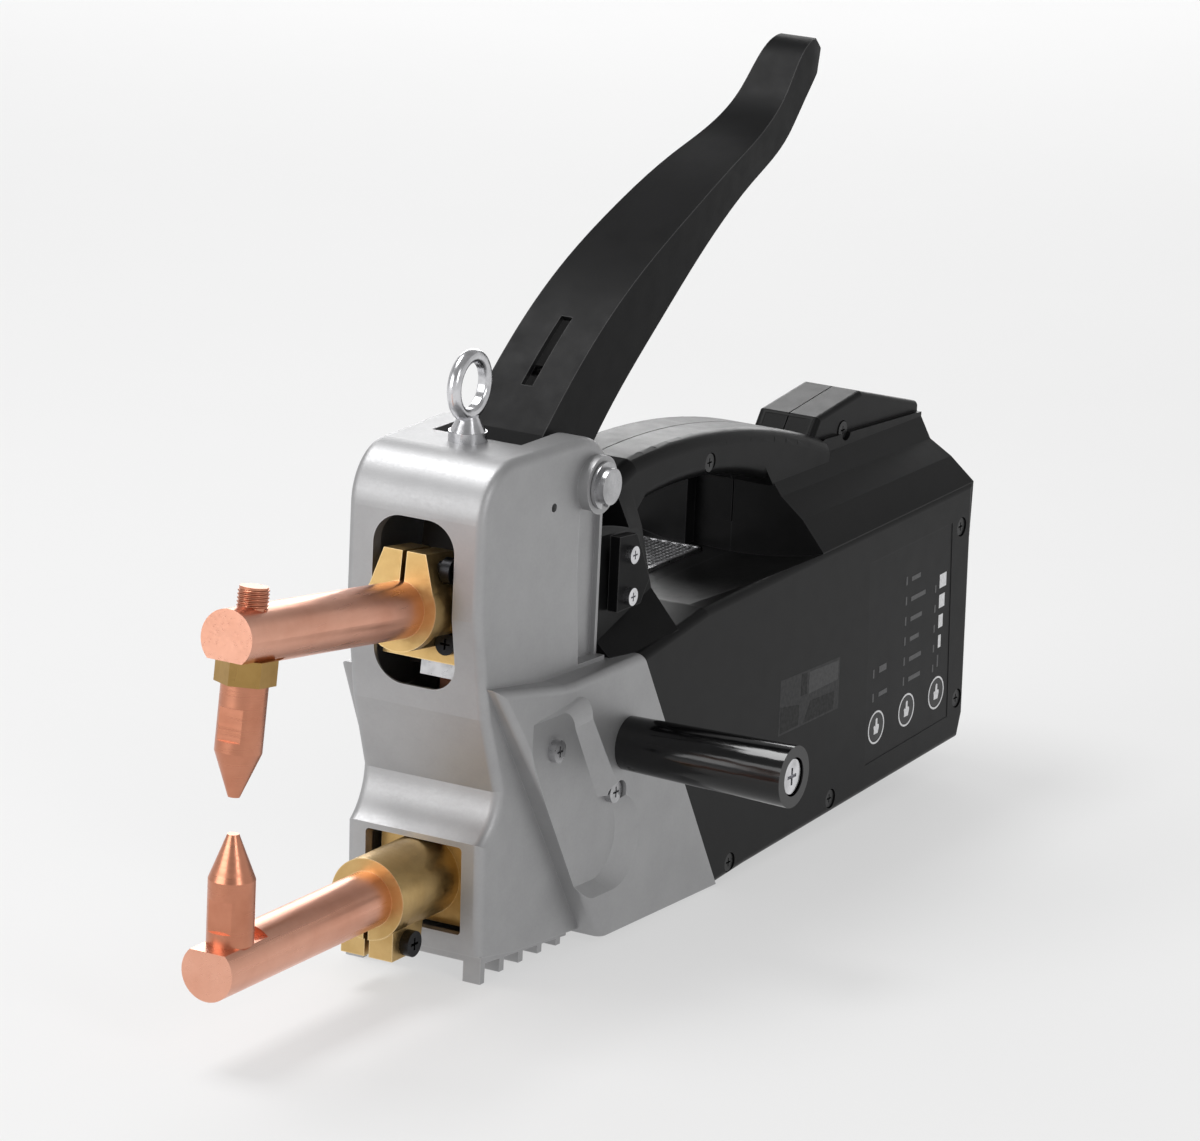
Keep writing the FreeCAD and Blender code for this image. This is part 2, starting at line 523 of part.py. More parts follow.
def front_casting():
    half, top, wide, wall = size["head_half"], size["head_top"], size["wide_half"], size["cast_wall"]
    station, height = size["lever_pivot_station"], size["lever_pivot_height"]
    front_side = [(121, 98), (121, 132), [(126.9, 146.1)], (141, top), (184, top), [(195, 147.5)],
                  (201, 138), (201, -29), (152, -27), (129.8, -24), (128.2, 17), [(135, 24)], (137.8, 34),
                  (127.5, 62)]
    head = slab(front_side, -half - 4, half + 4)
    for side in (1, -1):
        head = head.cut(side_wedge(side, [(half - 2, 118), (half + 2.73, 203), (60, 203), (60, 118)]))
    head_edges = edges_where(head, lambda place: abs(place.x) > 25 and place.y < 198 and place.z > -22)
    head = head.makeFillet(3.5, head_edges)

    # the wide part behind the nose: its sides spread from the nose to the housing's width
    belly = slab([(127.5, 73.5), (163, 69), (215, 69), (277.6, -32.2), (193, -30.5)], -wide, wide)
    for side in (1, -1):
        belly = belly.cut(side_wedge(side, [(30.5, 118), (31.5, 124), (wide, 168), (60, 168), (60, 118)]))
    belly_edges = edges_where(belly, lambda place: abs(place.x) > 25 and
                              (place.z > 68 or (place.y < 184 and place.z > -20)))
    belly = belly.makeFillet(3, belly_edges)
    solid = head.fuse(belly).removeSplitter()

    # hollow from behind, in steps that leave a wall inside the spreading sides and the pockets' floors
    hollow_head = slab([(126, 73), (126, 136), (136, top - 6), (222, top - 6), (222, 60), (131.6, 60)],
                       -23, 23)
    hollow_hood = slab([(133, -21), (133, 12), (142.4, 28), (142.4, 38), (132, 62), (215, 62), (215, -21)],
                       -22.6, 22.6)
    solid = solid.cut(hollow_head).cut(hollow_hood)
    for front, inner in ((150, 26), (172, size["pocket_floor"] - 3.5), (222, wide - wall)):
        hollow_belly = slab([(160, 65), (240, 65), (300, -28), (200, -27), (190, -19)], -inner, inner)
        solid = solid.cut(hollow_belly.common(Part.makeBox(100, 200, 200, V(-50, front, -60))))
    behind = slab([(215, 69.5), (215, 200), (400, 200), (400, -60), (294.8, -60)], -60, 60)
    solid = solid.cut(behind)
    window = rounded_window(size["window_half"], size["window_bottom"], size["window_top"],
                            size["window_corner"], 110, 30)
    mouth = rounded_window(size["mouth_half"], size["mouth_bottom"], size["mouth_top"], 1.5, 120, 22)
    lever_slot = Part.makeBox(36, 60, 40, V(-18, 160, 130))
    solid = solid.cut(window).cut(mouth).cut(lever_slot)

    # lugs for the rocker pin, bosses for the lever pin, and the thick spot that holds the lifting eye
    for side in (1, -1):
        inner_end = 15 if side > 0 else -(wide - wall + 1)
        solid = solid.fuse(Part.makeBox(wide - wall - 14, 21, 22, V(inner_end, 194, 46)))
        boss_start = V(side * (half - 4.5), station, height)
        boss_length = size["boss_height"] + 6.5
        solid = solid.fuse(Part.makeCylinder(size["boss_radius"], boss_length, boss_start, X_AXIS * side))
    solid = solid.fuse(Part.makeCylinder(9, 10, V(0, 154, top - 11)))
    solid = solid.cut(Part.makeBox(46, 80, 40, V(-23, 165, 110)))
    jaw_start = V(-44, size["jaw_pivot_station"], size["jaw_pivot_height"])
    jaw_hole = Part.makeCylinder(size["jaw_pin_radius"], 70, jaw_start, X_AXIS)
    pin_hole = Part.makeCylinder(size["lever_pin_radius"], 120, V(-60, station, height), X_AXIS)
    eye_hole = Part.makeCylinder(4, 30, V(0, 154, top - 20))
    solid = solid.cut(jaw_hole).cut(pin_hole).cut(eye_hole)

    # side pockets with sloping walls and two screws each, and the threaded hole under the side grip
    for side in (1, -1):
        rim = pocket_outline(side * (wide + 1), POCKET_RIM)
        floor = pocket_outline(side * size["pocket_floor"], POCKET_FLOOR)
        solid = solid.cut(Part.makeLoft([rim, floor], True, True))

    # rear strip of each cheek steps in and ends in a thin rib; a small hole beside the boss
    for side in (1, -1):
        strip = slab([(181, 127), (181, 104), (184, 70.5), (199.4, 70.5), (199.4, 127)],
                     min(side * 26.2, side * 34), max(side * 26.2, side * 34))
        rib_side = slab([(199, 127), (199, 70.5), (202, 70.5), (202, 127)],
                        min(side * 28.2, side * 34), max(side * 28.2, side * 34))
        solid = solid.cut(strip).cut(rib_side)
        solid = solid.cut(Part.makeCylinder(1.6, 9, V(side * 24, 164.6, 130.8), X_AXIS * side))
    grip_hole = Part.makeCylinder(4, 20, V(wide - 12, 206.5, 38.5), X_AXIS)
    solid = solid.cut(grip_hole)
    for place in POCKET_SCREWS:
        for side in (1, -1):
            thread = Part.makeCylinder(2.5, 12, V(side * (wide - 14), *place), X_AXIS * side)
            head_well = Part.makeCylinder(4.7, 12, V(side * size["pocket_floor"], *place), X_AXIS * side)
            solid = solid.cut(thread).cut(head_well)
    solid = sorted(solid.Solids, key=lambda piece: piece.Volume)[-1]
    node(feature("casting_shape", solid), "front_casting")


POCKET_SCREWS = [(161, 45.5), (202, 21)]
POCKET_RIM = [(122, 66), (166, 64.8), (177.5, 62), (181.5, 54), (205.5, 20), (216.5, -8),
              (200, -15.5), (176, -15)]
POCKET_FLOOR = [(122, 59), (164, 57.5), (172, 55.5), (175.5, 50), (193, 21), (203, -4.5), (193, -9.5),
                (174, -9)]


def casting_fittings():
    seat = size["pocket_floor"]
    bolts = []
    for place in POCKET_SCREWS:
        for side in (1, -1):
            bolts.append(screw("pocket_screw", (side * seat, *place), (side, 0, 0), 4.0, 2.6, 2.5, 9))
    node(group("pocket_screws", bolts), "casting_screws")

    # comb-edged guard below the mouth
    bar = slab([(131, -24.2), (131, -26.6), (190, -31.4), (190, -29.3), (152, -27.1)], -27.5, 27.5)
    teeth = []
    for index, depth in enumerate((6.8, 4.4, 3.4, 2.4, 1.8)):
        front = 131 + 13 * index
        seat = -26.2 - 0.085 * (front - 131)
        for low in (20.5, -27.5):
            teeth.append(slab([(front, seat), (front + 3, seat), (front + 3, seat - 1 - depth),
                               (front, seat - 1 - depth)], low, low + 7))
    comb = bar.multiFuse(teeth).cut(head_blank()).cut(belly_blank())
    node(feature("comb_shape", comb), "lower_guard")

    # lifting eye: ring with a short cylindrical land inside, collar and threaded shank
    top = size["head_top"]
    centre = (0, 154, top + size["ring_height"] - 2.5)
    ring = doc.addObject("Part::Torus", "eye_ring")
    bind(ring, "Radius1", "ring_radius")
    bind(ring, "Radius2", "ring_wire")
    ring.Placement = FreeCAD.Placement(V(*centre), FreeCAD.Rotation(Z_AXIS, X_AXIS))
    bore = cylinder("eye_bore", "ring_radius - ring_wire + 0.35", 20, (-10, 154, centre[2]), X_AXIS)
    collar = cylinder("eye_collar", 6.8, 3.6, (0, 154, top))
    neck = cone("eye_neck", 6.2, 3.6, 5.2, (0, 154, top + 3.6))
    shank = cylinder("eye_shank", 4, 11, (0, 154, top - 11))
    solid = fuse("eye_solid", ring, collar, neck, shank)
    node(cut("eye_cut", solid, bore), "eye_bolt")

    base = (size["wide_half"], 206.5, 38.5)
    taper = cone("grip_taper", "grip_base_radius", "grip_end_radius", "grip_length", base, X_AXIS)
    recess = cylinder("grip_recess", 7.0, 10, (base[0] + size["grip_length"] - 4.6, *base[1:]), X_AXIS)
    bore = cylinder("grip_bore", "grip_bore_radius", 90, base, X_AXIS)
    node(cut("grip_cut", taper, recess, bore), "side_grip")
    seat = base[0] + size["grip_length"] - 4.6
    node(screw("grip_bolt_solid", (seat, *base[1:]), (1, 0, 0), 6.3, 3.8, 4.0, seat - base[0] + 11),
         "side_grip_bolt")


# ---------------------------------------------------------------------------------------------- housing
BODY_SIDE = [(215, 69), (261, 75.9), (350, 79), (473.6, 82.7), (476.9, -12), (473.5, -22), (299.7, -30.5),
             (277.6, -32.2)]
REAR_FRONT, REAR_END = 350.0, 474.2
SHELL_SCREWS = [(14.2, 299.5, 119), (11.0, 411, 110), (37, 465, 65.5), (37, 470, -5), (37, 366, -21),
                (37, 287.5, -26.5)]


def section(station, points):
    corners = [V(x, station, z) for x, z in points]
    return Part.makePolygon(corners + corners[:1])


def mirrored(points):
    return points + [(-x, z) for x, z in reversed(points)]


def shoulders(low, high, low_points, high_points):
    ends = [section(low, mirrored(low_points)), section(high, mirrored(high_points))]
    return Part.makeLoft(ends, True, True)


def left_shoulder():
    """The left shoulder stands a little higher and further forward than the right one."""
    inner = -16
    ends = [section(343.5, [(inner, 60), (-39, 60), (-39.4, 84), (-33.5, 91), (-26, 96), (inner, 101)]),
            section(REAR_END, [(inner, 60), (-39, 60), (-39.4, 82), (-29, 90.5), (-19.5, 96), (inner, 102)])]
    return Part.makeLoft(ends, True, True)


def housing_outside():
    half = size["shell_half"]
    block_solid = slab(BODY_SIDE, -half, half)
    long_edges = edges_where(block_solid, lambda place: abs(place.x) > 30 and abs(place.y - 246) > 5)
    block_solid = block_solid.makeFillet(3.0, long_edges)
    rear = shoulders(REAR_FRONT, REAR_END, [(39, 60), (39.4, 78.4), (30, 89.5), (20.5, 97), (16, 103)],
                     [(39, 60), (39.4, 82), (29, 90.5), (19.5, 96), (14, 106)])
    front = shoulders(203, 241, [(35, 50), (36, 66), (27, 74), (26, 112), (20, 118)],
                      [(39, 60), (39, 72.5), (27, 86), (22, 108), (16, 123)])
    arch_side = [(205, 108), (205, 118), (243.6, 130.6), [(300, 130.0)], (394, 109.5), (394, 90), (352, 98),
                 (348, 102.7), [(298, 113.5)], (246.6, 112.5), (236, 104), (228, 86)]
    arch = slab(arch_side, -size["arch_half"], size["arch_half"])
    grip_edges = [edge for edge in edges_where(arch, lambda place: abs(place.x) > 10 and place.y > 215)
                  if edge.Length > 60 or (edge.Length > 20 and edge.CenterOfMass.z > 120)]
    arch = arch.makeFillet(5.0, grip_edges)
    hump_side = [(387, 95), (387, 111.5), (392, 118.3), (426, 122.5), (474.2, 110), (474.2, 90)]
    hump = slab(hump_side, -size["hump_half"], size["hump_half"])
    hump_edges = edges_where(hump, lambda place: place.z > 112 and abs(place.x) > 10)
    hump = hump.makeFillet(2.0, hump_edges)
    rear_hump = slab([(352, 90), (352, 101), (394, 109.8), (474.2, 106), (474.2, 90)], -15, 15)
    whole = block_solid.multiFuse([rear, front, arch, hump, rear_hump])
    dish = Part.makeCylinder(150, REAR_FRONT - 262, V(0, 262, 72.6 + 150), Y_AXIS)
    keep_arch = slab([(200, 90), (420, 90), (420, 200), (200, 200)], -60, 60)
    return whole.cut(dish.cut(keep_arch)).fuse(left_shoulder())


def housing_inside():
    wall = size["shell_wall"]
    half = size["shell_half"] - wall
    core = slab([(200, 63), (262, 69), (346, 71), (470.2, 78), (473.4, -10.5), (471, -18.5), (300, -27.3),
                 (262, -29)], -half, half)
    rear = shoulders(REAR_FRONT + wall, REAR_END - wall, [(36, 50), (36, 75), (18.5, 90.5), (13, 98)],
                     [(36, 50), (36, 78), (17, 91), (10, 102)])
    return core.fuse(rear)


PANEL_SIDE = [(388.5, 66.5), (456.8, 68.7), (462.4, -10.8), (393.5, -14.5)]
KEYS = [(401.3, -1.0), (426.4, 0.2), (451.5, 1.4)]
BRACKET_HOLES = (104, 88.7)


def lever_room():
    """Space swept by the lever's hub between the casting's cheeks."""
    return Part.makeBox(46, 40, 60, V(-23, 190, 64))


def housing():
    outside = housing_outside().cut(head_blank()).cut(housing_inside()).cut(lever_room())
    ledge = Part.makeBox(31, 82, 3.2, V(-37, 263, 69.5)).cut(Part.makeBox(23, 74, 20, V(-33, 267, 60)))
    outside = outside.fuse(ledge)
    outside = outside.cut(Part.makeBox(27.2, 78.2, 10, V(-35.1, 264.9, 72.7)))
    outside = outside.cut(Part.makeBox(23, 74, 20, V(-33, 267, 60)))
    # screw bosses meet at the middle plane; the heads sit in wells on the right
    for x, station, height in SHELL_SCREWS:
        outside = outside.fuse(Part.makeCylinder(4.6, 2 * (x - 2), V(2 - x, station, height), X_AXIS))
    for x, station, height in SHELL_SCREWS:
        outside = outside.cut(Part.makeCylinder(3.85, 40, V(x, station, height), X_AXIS))
        outside = outside.cut(Part.makeCylinder(1.9, x + 9, V(-9, station, height), X_AXIS))
    for height in BRACKET_HOLES:
        outside = outside.cut(Part.makeCylinder(2.0, 80, V(-40, 216.5, height), X_AXIS))
    # panel recess on the right, with the ribbon slot and the three key wells behind it
    recess = slab(PANEL_SIDE, size["shell_half"] - 1.2, size["shell_half"] + 2)
    outside = outside.cut(recess)
    for station, height in KEYS:
        well = Part.makeCylinder(size["key_radius"] + 0.6, 20, V(30, station, height), X_AXIS)
        outside = outside.cut(well)
    outside = outside.cut(Part.makeCylinder(8.0, 30, V(0, 460, 22), Y_AXIS))
    outside = outside.cut(Part.makeCylinder(3.0, 40, V(-14.75, 214, 100)))
    outside = outside.cut(belly_blank())
    outside = outside.cut(Part.makeBox(0.5, 300, 60, V(-0.25, 200, 84)))
    right = outside.common(Part.makeBox(100, 400, 300, V(0, 150, -80)))
    left = outside.common(Part.makeBox(100, 400, 300, V(-100, 150, -80)))
    for name, half in (("right_shell", right), ("left_shell", left)):
        solid = sorted(half.Solids, key=lambda piece: piece.Volume)[-1]
        node(feature(name + "_shape", solid), name)


def housing_fittings():
    heads = []
    for x, station, height in SHELL_SCREWS:
        heads.append(screw("shell_screw", (x, station, height), (1, 0, 0), 3.4, 2.4, 1.9, x + 8))
    node(group("shell_screw_set", heads), "shell_screws")

    bracket_side = [(209.4, 84), (209.4, 111.5), (221.5, 110.5), (226, 103), (232, 92), (226, 84)]
    plates = []
    bolts = []
    for side in (1, -1):
        low = 27.2 if side > 0 else -31.2
        bracket = slab(bracket_side, low, low + 4)
        for height in BRACKET_HOLES:
            bracket = bracket.cut(Part.makeCylinder(2.0, 80, V(-40, 216.5, height), X_AXIS))
        plates.append(feature("bracket_plate", bracket))
        for height in BRACKET_HOLES:
            seat = (side * 31.2, 216.5, height)
            bolts.append(screw("bracket_bolt", seat, (side, 0, 0), 3.2, 2.4, 2.0, 8.6))
    node(group("bracket_pair", plates), "side_brackets")
    node(group("bracket_bolt_set", bolts), "bracket_screws")

    node(block("mesh_plate", (-34.9, -8.1), (265.1, 342.9), (72.7, 74.2)), "vent_mesh")

    panel = slab(PANEL_SIDE, size["shell_half"] - 1.2, size["shell_half"] - 0.2)
    for station, height in KEYS:
        key_hole = Part.makeCylinder(size["key_radius"] + 0.3, 10, V(34, station, height), X_AXIS)
        panel = panel.cut(key_hole)
    node(feature("panel_shape", panel), "control_panel")
    for name, (station, height) in zip(("material_key", "thickness_key", "current_key"), KEYS):
        cap = cylinder(name + "_cap", "key_radius", 3.2, (size["shell_half"] - 3.4, station, height), X_AXIS)
        node(cap, name)
    board = slab([(391, 63), (454, 65), (457.5, -8), (395, -10)], 30.4, 32)
    node(feature("board_shape", board), "control_board")
    switches = [block("tact_switch", (32, "35.9"), (station - 3, station + 3), (height - 3, height + 3))
                for station, height in KEYS]
    node(group("tact_set", switches), "key_switches")

    outer = cylinder("gland_flange", 11, 4.5, (0, 476.9, 22), Y_AXIS)
    barrel = cylinder("gland_barrel", 7.9, 20, (0, 460, 22), Y_AXIS)
    bore = cylinder("gland_bore_tool", "gland_bore", 60, (0, 440, 22), Y_AXIS)
    node(cut("gland_cut", fuse("gland_solid", barrel, outer), bore), "cable_gland")
    ring = hexagon("locking_hex", 22, 4.5, (0, 467.2, 22), Y_AXIS)
    thread = cylinder("gland_nut_bore", 7.9, 20, (0, 462, 22), Y_AXIS)
    node(cut("gland_nut_cut", ring, thread), "gland_nut")


# ---------------------------------------------------------------------------------------------- inside
def electrics():
    core = block("core_block", (-20, 20), (280, 360), (-20, 56))
    windows = [block("core_window", (-22, 22), (y, y + 18), (-6, 38)) for y in (294, 328)]
    node(cut("core_cut", core, *windows), "transformer_core")
    for name, low, high, half in (("secondary_winding", -5, 20, 32), ("primary_coil", 21, 35, 30)):
        turn = block(name + "_turn", (-half, half), (295, 345), (low, high))
        inside = block(name + "_inside", (-20.4, 20.4), (311.6, 328.4), (low - 1, high + 1))
        node(cut(name + "_cut", turn, inside), name)

    # lower busbar, from the clamp's foot round the core to the right-hand end of the secondary
    lower_plan = [((-9, 9), (150, 200)), ((-9, 32), (190, 200)), ((22, 32), (190, 295))]
    runs = [block("lower_run", x, y, (-5, 7)) for x, y in lower_plan]
    node(fuse("lower_runs", *runs), "lower_busbar")
    upper_plan = [((-32, 12), (236, 250)), ((-32, -22), (236, 295))]
    runs = [block("upper_run", x, y, (14, 20)) for x, y in upper_plan]
    node(fuse("upper_runs", *runs), "upper_busbar")

    # laminated strap between the moving lug and the upper busbar
    strap_side = [(144.5, 69.2), (144.5, 30), [(147.1, 22.8)], (152, 20.2), (250, 20.2), (250, 23.2),
                  (153, 23.2), [(149.2, 25.2)], (147.5, 30), (147.5, 68.8)]
    node(feature("strap_shape", slab(strap_side, -1.5, 12)), "flexible_shunt")

    node(block("module_block", (-30, -4), (385, 440), (-15, 10)), "power_module")

    # cooling fan under the mesh
    middle = (-16.0, 305.0)
    frame_block = block("fan_block", (-36, 4), (285, 325), (59, 69))
    tunnel = cylinder("fan_tunnel", "fan_half - 1.4", 12, (*middle, 58))
    seat = cylinder("fan_seat", 8, 2, (*middle, 59))
    struts = [block("fan_strut", (-35, 3), (303.5, 306.5), (59, 61)),
              block("fan_strut", (-17.5, -14.5), (286, 324), (59, 61))]
    hole = cylinder("fan_hole", 1.55, 4, (*middle, 58))
    ring = cut("fan_ring", frame_block, tunnel)
    node(cut("fan_frame_cut", fuse("fan_frame_solid", ring, seat, *struts), hole), "fan_frame")
    hub = Part.makeCylinder(7.5, 7, V(*middle, 61.4)).fuse(Part.makeCylinder(1.5, 2.2, V(*middle, 59.4)))
    blades = []
    for index in range(7):
        blade = Part.makeBox(11.2, 1.2, 8.2, V(6.6, -0.6, -4.1))
        blade.rotate(V(0, 0, 0), X_AXIS, 52)
        blade.rotate(V(0, 0, 0), Z_AXIS, index * 360 / 7)
        blade.translate(V(*middle, 65))
        blades.append(blade)
    node(feature("fan_rotor_shape", hub.multiFuse(blades)), "fan_rotor")

    # end-of-stroke switch under the lever's left cheek
    place = (-14.75, 214.0)
    case = block("switch_case", (-22, -8), (206, 226), (104, 114))
    well = cylinder("switch_well", 2.3, 8, (*place, 108))
    node(cut("switch_cut", case, well), "stroke_switch")
    node(cylinder("plunger_rod", 2.0, 17.5, (*place, 110)), "switch_plunger")


lower_jaw()
upper_jaw()
rocker()
hand_lever()
pins()
front_casting()
casting_fittings()
housing()
housing_fittings()
electrics()

doc.recompute()
for obj in doc.Objects:
    if "Invalid" in obj.State or "Error" in obj.State:
        raise RuntimeError("%s did not compute: %s" % (obj.Name, obj.State))
for part in PARTS:
    shape = part.Shape
    if shape.isNull() or not shape.isValid() or not shape.Solids:
        raise RuntimeError("%s has a bad shape" % part.Label)

os.makedirs("parts", exist_ok=True)
for part in PARTS:
    part.Shape.exportStep("parts/%s.step" % part.Label)
    box = part.Shape.BoundBox
    print("%-20s %8.1f cm3/1000  x %.1f..%.1f  y %.1f..%.1f  z %.1f..%.1f  solids %d" % (
        part.Label, part.Shape.Volume, box.XMin, box.XMax, box.YMin, box.YMax, box.ZMin, box.ZMax,
        len(part.Shape.Solids)))
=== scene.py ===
import bpy
import bmesh
import json
import math
from mathutils import Matrix, Vector


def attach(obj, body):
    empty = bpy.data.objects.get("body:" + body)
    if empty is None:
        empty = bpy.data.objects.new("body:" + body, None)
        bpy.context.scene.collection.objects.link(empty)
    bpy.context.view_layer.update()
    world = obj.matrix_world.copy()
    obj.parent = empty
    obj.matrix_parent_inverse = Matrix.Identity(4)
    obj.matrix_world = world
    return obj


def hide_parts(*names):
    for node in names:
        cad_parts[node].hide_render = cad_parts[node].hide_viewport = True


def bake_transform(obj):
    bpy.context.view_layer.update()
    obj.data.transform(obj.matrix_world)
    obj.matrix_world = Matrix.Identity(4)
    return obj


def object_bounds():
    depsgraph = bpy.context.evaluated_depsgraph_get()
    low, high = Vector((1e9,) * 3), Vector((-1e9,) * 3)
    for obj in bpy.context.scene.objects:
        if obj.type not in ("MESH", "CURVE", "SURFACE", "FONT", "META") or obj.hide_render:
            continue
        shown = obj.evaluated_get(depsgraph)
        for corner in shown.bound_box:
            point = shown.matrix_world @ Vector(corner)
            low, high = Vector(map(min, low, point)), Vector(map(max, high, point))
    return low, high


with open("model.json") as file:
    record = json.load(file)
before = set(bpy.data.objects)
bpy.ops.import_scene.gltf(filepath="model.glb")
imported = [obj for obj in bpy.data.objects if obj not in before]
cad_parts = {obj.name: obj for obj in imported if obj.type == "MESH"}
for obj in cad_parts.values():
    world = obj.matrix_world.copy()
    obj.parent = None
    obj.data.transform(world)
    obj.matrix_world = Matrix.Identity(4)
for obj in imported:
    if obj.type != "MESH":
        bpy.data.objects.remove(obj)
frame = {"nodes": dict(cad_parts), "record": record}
cad_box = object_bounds()
NODES = frame["nodes"]


# ------------------------------------------------------------------------------------------ materials
class Surface:
    """A node material: one Principled shader and a few helpers to wire texture nodes to it."""

    def __init__(self, name, **sockets):
        self.material = bpy.data.materials.new(name)
        self.material.use_nodes = True
        self.tree = self.material.node_tree
        self.shader = self.tree.nodes["Principled BSDF"]
        for socket, value in sockets.items():
            self.shader.inputs[socket.replace("_", " ")].default_value = value
        self.place = self.add("ShaderNodeTexCoord").outputs["Object"]

    def add(self, kind, **settings):
        item = self.tree.nodes.new(kind)
        for key, value in settings.items():
            if key in item.inputs:
                item.inputs[key].default_value = value
            else:
                setattr(item, key, value)
        return item

    def link(self, source, target):
        self.tree.links.new(source, target)

    def stretched(self, scale):
        mapping = self.add("ShaderNodeMapping")
        mapping.inputs["Scale"].default_value = scale
        self.link(self.place, mapping.inputs["Vector"])
        return mapping.outputs["Vector"]

    def noise(self, scale, detail=3.0, rough=0.55, stretch=(1, 1, 1)):
        item = self.add("ShaderNodeTexNoise", Scale=scale, Detail=detail, Roughness=rough)
        self.link(self.stretched(stretch), item.inputs["Vector"])
        return item.outputs["Fac"]

    def ramp(self, source, stops):
        item = self.add("ShaderNodeValToRGB")
        ramp = item.color_ramp
        while len(ramp.elements) < len(stops):
            ramp.elements.new(0.5)
        for element, (at, colour) in zip(ramp.elements, stops):
            element.position = at
            element.color = (*colour, 1) if len(colour) == 3 else colour
        self.link(source, item.inputs["Fac"])
        return item.outputs["Color"]

    def range(self, source, low, high, from_low=0.3, from_high=0.7):
        item = self.add("ShaderNodeMapRange")
        limits = {"From Min": from_low, "From Max": from_high, "To Min": low, "To Max": high}
        for key, value in limits.items():
            item.inputs[key].default_value = value
        self.link(source, item.inputs["Value"])
        return item.outputs["Result"]

    def mix(self, factor, first, second, blend="MIX"):
        item = self.add("ShaderNodeMix", data_type="RGBA", blend_type=blend)
        for value, index in ((factor, 0), (first, 6), (second, 7)):
            if isinstance(value, bpy.types.NodeSocket):
                self.link(value, item.inputs[index])
            else:
                item.inputs[index].default_value = value if index == 0 else (*value, 1)
        return item.outputs[2]

    def edges(self, radius, low, high):
        """Bright where the surface turns sharply: a painted highlight along the edges."""
        bevel = self.add("ShaderNodeBevel", samples=6)
        bevel.inputs["Radius"].default_value = radius
        geometry = self.add("ShaderNodeNewGeometry")
        dot = self.add("ShaderNodeVectorMath", operation="DOT_PRODUCT")
        self.link(bevel.outputs["Normal"], dot.inputs[0])
        self.link(geometry.outputs["Normal"], dot.inputs[1])
        return self.range(dot.outputs["Value"], 1.0, 0.0, low, high)

    def bump(self, source, distance, strength=1.0):
        item = self.add("ShaderNodeBump")
        item.inputs["Distance"].default_value = distance
        item.inputs["Strength"].default_value = strength
        self.link(source, item.inputs["Height"])
        if self.shader.inputs["Normal"].links:
            self.link(self.shader.inputs["Normal"].links[0].from_socket, item.inputs["Normal"])
        self.link(item.outputs["Normal"], self.shader.inputs["Normal"])

    def colour(self, source):
        self.link(source, self.shader.inputs["Base Color"])

    def roughness(self, source):
        self.link(source, self.shader.inputs["Roughness"])


def copper(name, light, dark, stretch, rough=(0.2, 0.36), tarnish=(0.36, 0.17, 0.11)):
    """Machined copper: tool lines along or round the bar, soft tarnish clouds and handling marks."""
    skin = Surface(name, Metallic=1.0)
    lines = skin.noise(700, 2, 0.6, stretch)
    clouds = skin.noise(38, 4, 0.6)
    tone = skin.ramp(clouds, [(0.32, dark), (0.62, light)])
    stains = skin.range(skin.noise(90, 5, 0.7), 0.0, 0.22, 0.5, 0.85)
    skin.colour(skin.mix(stains, tone, tarnish))
    skin.roughness(skin.range(lines, *rough))
    skin.bump(lines, 0.00004, 0.4)
    return skin.material


def cast_metal(name, light, dark, rough, grain, bump, edge_highlight_colour, metallic=1.0):
    skin = Surface(name, Metallic=metallic)
    clouds = skin.noise(55, 5, 0.62)
    tone = skin.ramp(clouds, [(0.34, dark), (0.66, light)])
    # the lighter edge colour on sharp edges is a painted highlight
    skin.colour(skin.mix(skin.edges(0.0009, 0.80, 0.97), tone, edge_highlight_colour))
    skin.roughness(skin.range(skin.noise(grain, 3, 0.6), *rough))
    skin.bump(skin.noise(grain, 4, 0.65), bump, 0.7)
    return skin.material


def plastic(name, base, rough, grain=2600, bump=0.00003, edge=(0.022, 0.022, 0.023), ior=1.45):
    """Moulded or coated black: fine texture, faint mottling, and edges lightened as a painted highlight."""
    skin = Surface(name, IOR=ior)
    mottle = skin.noise(120, 4, 0.6)
    lighter = tuple(channel * 1.35 for channel in base)
    tone = skin.ramp(mottle, [(0.3, base), (0.75, lighter)])
    # the lighter edge colour on sharp edges is a painted highlight
    skin.colour(skin.mix(skin.edges(0.0007, 0.78, 0.97), tone, edge))
    skin.roughness(skin.range(mottle, *rough))
    skin.bump(skin.noise(grain, 2, 0.5), bump, 0.6)
    return skin.material


def steel(name, base, rough, stretch=(1, 1, 1), scale=420, bump=0.00004, metallic=1.0):
    skin = Surface(name, Metallic=metallic)
    lines = skin.noise(scale, 4, 0.6, stretch)
    darker = tuple(channel * 0.72 for channel in base)
    skin.colour(skin.ramp(skin.noise(150, 4, 0.6), [(0.32, darker), (0.62, base)]))
    skin.roughness(skin.range(lines, *rough))
    skin.bump(lines, bump, 0.5)
    return skin.material


def laminated(name, base, gap, scale, axis):
    """Stacked sheets: dark joints between the layers."""
    skin = Surface(name, Metallic=0.7)
    bands = skin.add("ShaderNodeTexWave", wave_type="BANDS", bands_direction=axis, Scale=scale)
    skin.link(skin.place, bands.inputs["Vector"])
    tone = skin.ramp(bands.outputs["Fac"], [(0.1, gap), (0.35, base)])
    skin.colour(tone)
    skin.roughness(skin.range(skin.noise(300), 0.35, 0.6))
    skin.bump(bands.outputs["Fac"], 0.0001, 0.6)
    return skin.material
